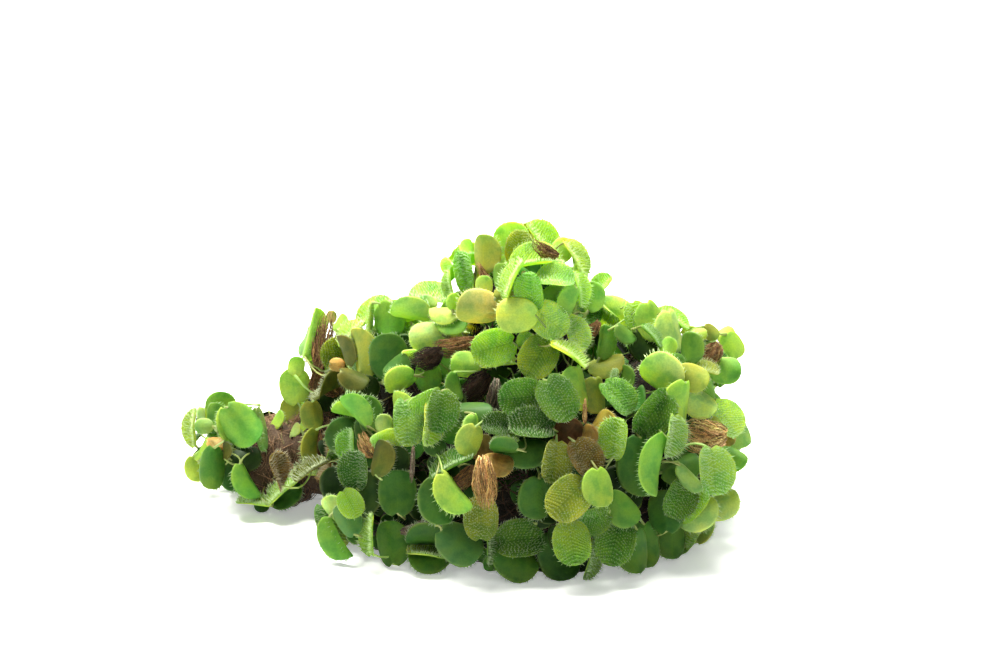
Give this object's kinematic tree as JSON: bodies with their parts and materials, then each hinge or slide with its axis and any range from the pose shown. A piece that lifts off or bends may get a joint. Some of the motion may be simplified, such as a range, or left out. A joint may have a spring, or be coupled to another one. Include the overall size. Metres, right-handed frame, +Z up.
{
  "type": "water spangles",
  "caption": "Tangled clump of floating water fern: small oval hairy leaves in pairs on thin rhizomes, over a flat-bottomed mass of brown roots",
  "frame": {"origin": "centre of the bounding box in plan, at the bottom plane the clump rests on", "axes": "+X is across the clump, its longest extent; -Y is the side the picture shows; +Z is up"},
  "size_m": [0.1624, 0.127, 0.0902],
  "materials": {
    "roots": "matt, fibrous, wet",
    "young_leaves": "soft, hairy, satin",
    "leaves": "soft, hairy, satin",
    "shaded_leaves": "soft, hairy, satin"
  },
  "bodies": {
    "root": {"root_mass": "roots", "sprig_back_01": "leaves", "sprig_back_02": "shaded_leaves", "sprig_back_03": "leaves", "sprig_back_04": "shaded_leaves", "sprig_back_05": "leaves", "sprig_back_06": "shaded_leaves", "sprig_back_07": "leaves", "sprig_back_08": "shaded_leaves", "sprig_back_09": "leaves", "sprig_back_10": "shaded_leaves", "sprig_back_11": "leaves", "sprig_back_12": "shaded_leaves", "sprig_back_13": "leaves", "sprig_back_14": "shaded_leaves", "sprig_back_15": "leaves", "sprig_back_16": "shaded_leaves", "sprig_back_17": "leaves", "sprig_back_18": "shaded_leaves", "sprig_back_19": "leaves", "sprig_back_20": "shaded_leaves", "sprig_back_21": "leaves", "sprig_back_23": "leaves", "sprig_column": "leaves", "sprig_column_foot": "shaded_leaves", "sprig_crown_back": "young_leaves", "sprig_crown_front": "young_leaves", "sprig_crown_left": "young_leaves", "sprig_crown_right": "young_leaves", "sprig_foot_left": "shaded_leaves", "sprig_foot_left_middle": "shaded_leaves", "sprig_foot_middle": "shaded_leaves", "sprig_foot_right": "shaded_leaves", "sprig_left_cup": "leaves", "sprig_left_edge": "leaves", "sprig_left_fan": "leaves", "sprig_left_hairy": "leaves", "sprig_left_inner": "leaves", "sprig_lower_right": "shaded_leaves", "sprig_middle": "leaves", "sprig_middle_brown": "leaves", "sprig_middle_cup": "leaves", "sprig_right_edge": "leaves", "sprig_right_hollow": "leaves", "sprig_right_long": "leaves", "sprig_right_low": "leaves", "sprig_right_middle": "leaves", "sprig_right_shoulder": "leaves", "sprig_right_top": "young_leaves", "sprig_shoulder_left": "leaves", "sprig_shoulder_low": "leaves", "sprig_shoulder_middle": "leaves", "sprig_tail_floor": "leaves", "sprig_tail_low": "leaves", "sprig_tail_top": "young_leaves", "sprig_upper_middle": "young_leaves", "sprig_upper_right": "young_leaves"}
  },
  "joints": []
}
